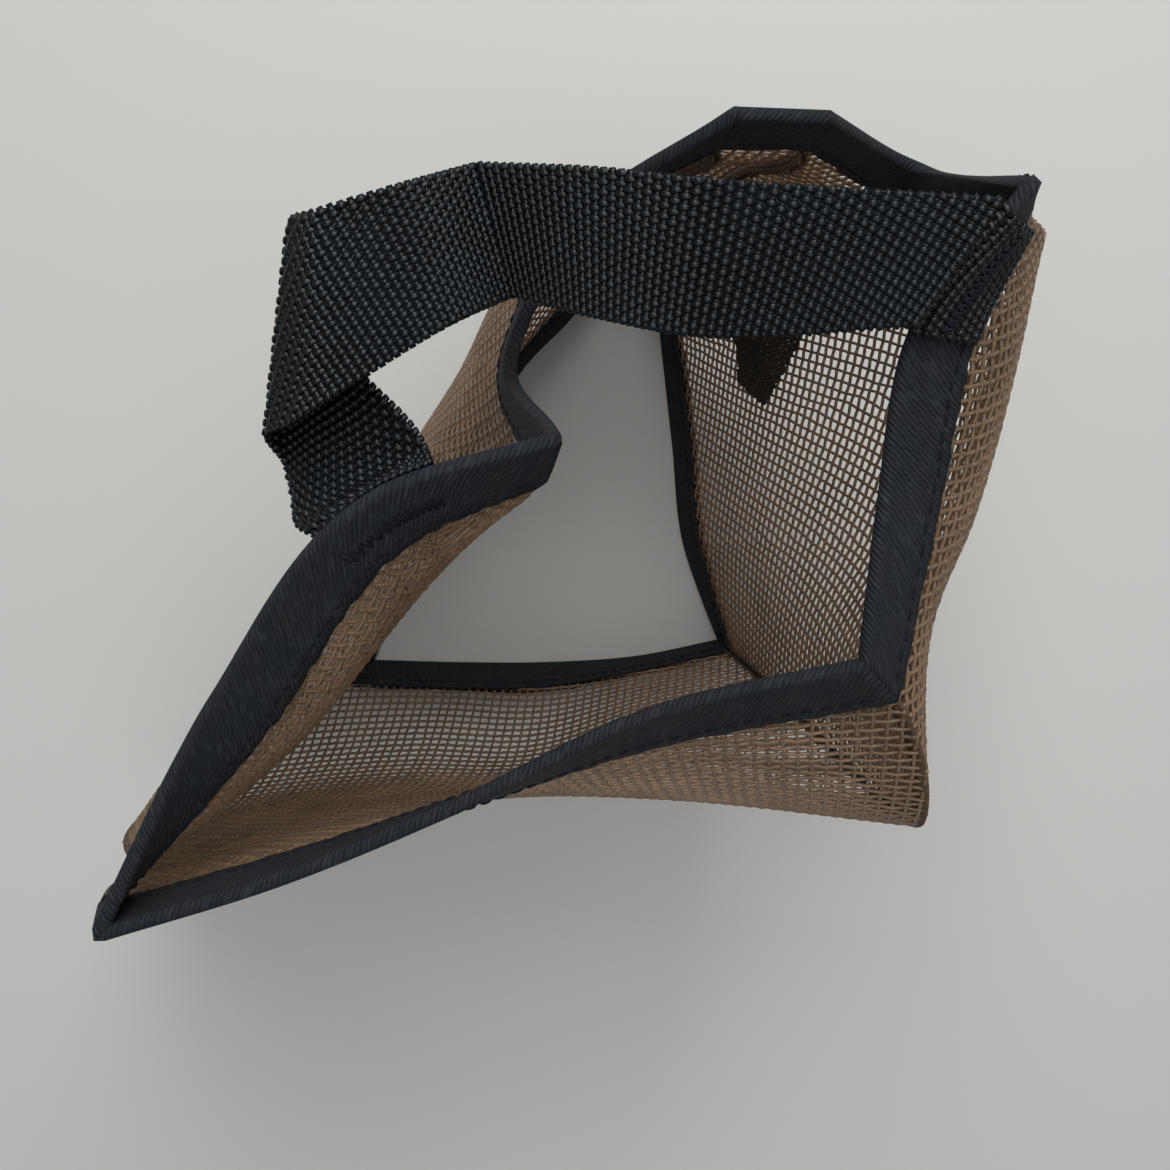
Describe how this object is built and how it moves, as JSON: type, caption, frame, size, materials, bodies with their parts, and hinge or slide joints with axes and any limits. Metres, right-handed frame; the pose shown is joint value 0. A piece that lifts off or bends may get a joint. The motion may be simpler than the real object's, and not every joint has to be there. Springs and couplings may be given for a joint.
{
  "type": "fly mask",
  "caption": "Open-ended fly mask of see-through brown mesh for a small horse head, bound with folded black tape, with ear cut-outs and a black webbing crown strap.",
  "frame": {"origin": "middle of the part's box, on the surface that the nose hem stands on", "axes": "+Z from the nose hem up to the poll opening, +Y towards the forehead seam, +X towards the wearer's right cheek"},
  "size_m": [0.2346, 0.1796, 0.2182],
  "materials": {
    "mesh_cloth": "woven open mesh of coated yarn, matt",
    "edge_tape": "twill tape, matt",
    "webbing": "coarse woven webbing, satin",
    "thread": "sewing thread, matt"
  },
  "bodies": {
    "mask": {"jaw_panel": "mesh_cloth", "right_cheek_panel": "mesh_cloth", "forehead_panel": "mesh_cloth", "left_cheek_panel": "mesh_cloth", "right_eye_dart": "mesh_cloth", "left_eye_dart": "mesh_cloth", "jaw_rim_tape": "edge_tape", "right_cheek_rim_tape": "edge_tape", "right_ear_tape": "edge_tape", "forehead_tape": "edge_tape", "left_ear_tape": "edge_tape", "left_cheek_rim_tape": "edge_tape", "jaw_nose_tape": "edge_tape", "right_nose_tape": "edge_tape", "front_nose_tape": "edge_tape", "left_nose_tape": "edge_tape", "right_corner_seam": "mesh_cloth", "left_corner_seam": "mesh_cloth", "right_front_seam": "mesh_cloth", "left_front_seam": "mesh_cloth", "rim_tape_thread": "thread", "nose_tape_thread": "thread", "thread_knot": "thread", "strap_right_end": "webbing", "strap_left_end": "webbing", "strap_right_stitches": "thread", "strap_left_stitches": "thread"},
    "strap": {"crown_strap": "webbing"}
  },
  "joints": [
    {"name": "crown_strap_lift", "type": "hinge", "parent": "mask", "child": "strap", "pos_m": [0.06607, 0.04436, 0.2159], "axis": [0.9008, 0.4317, 0.0473], "range_deg": [0, 100]}
  ]
}
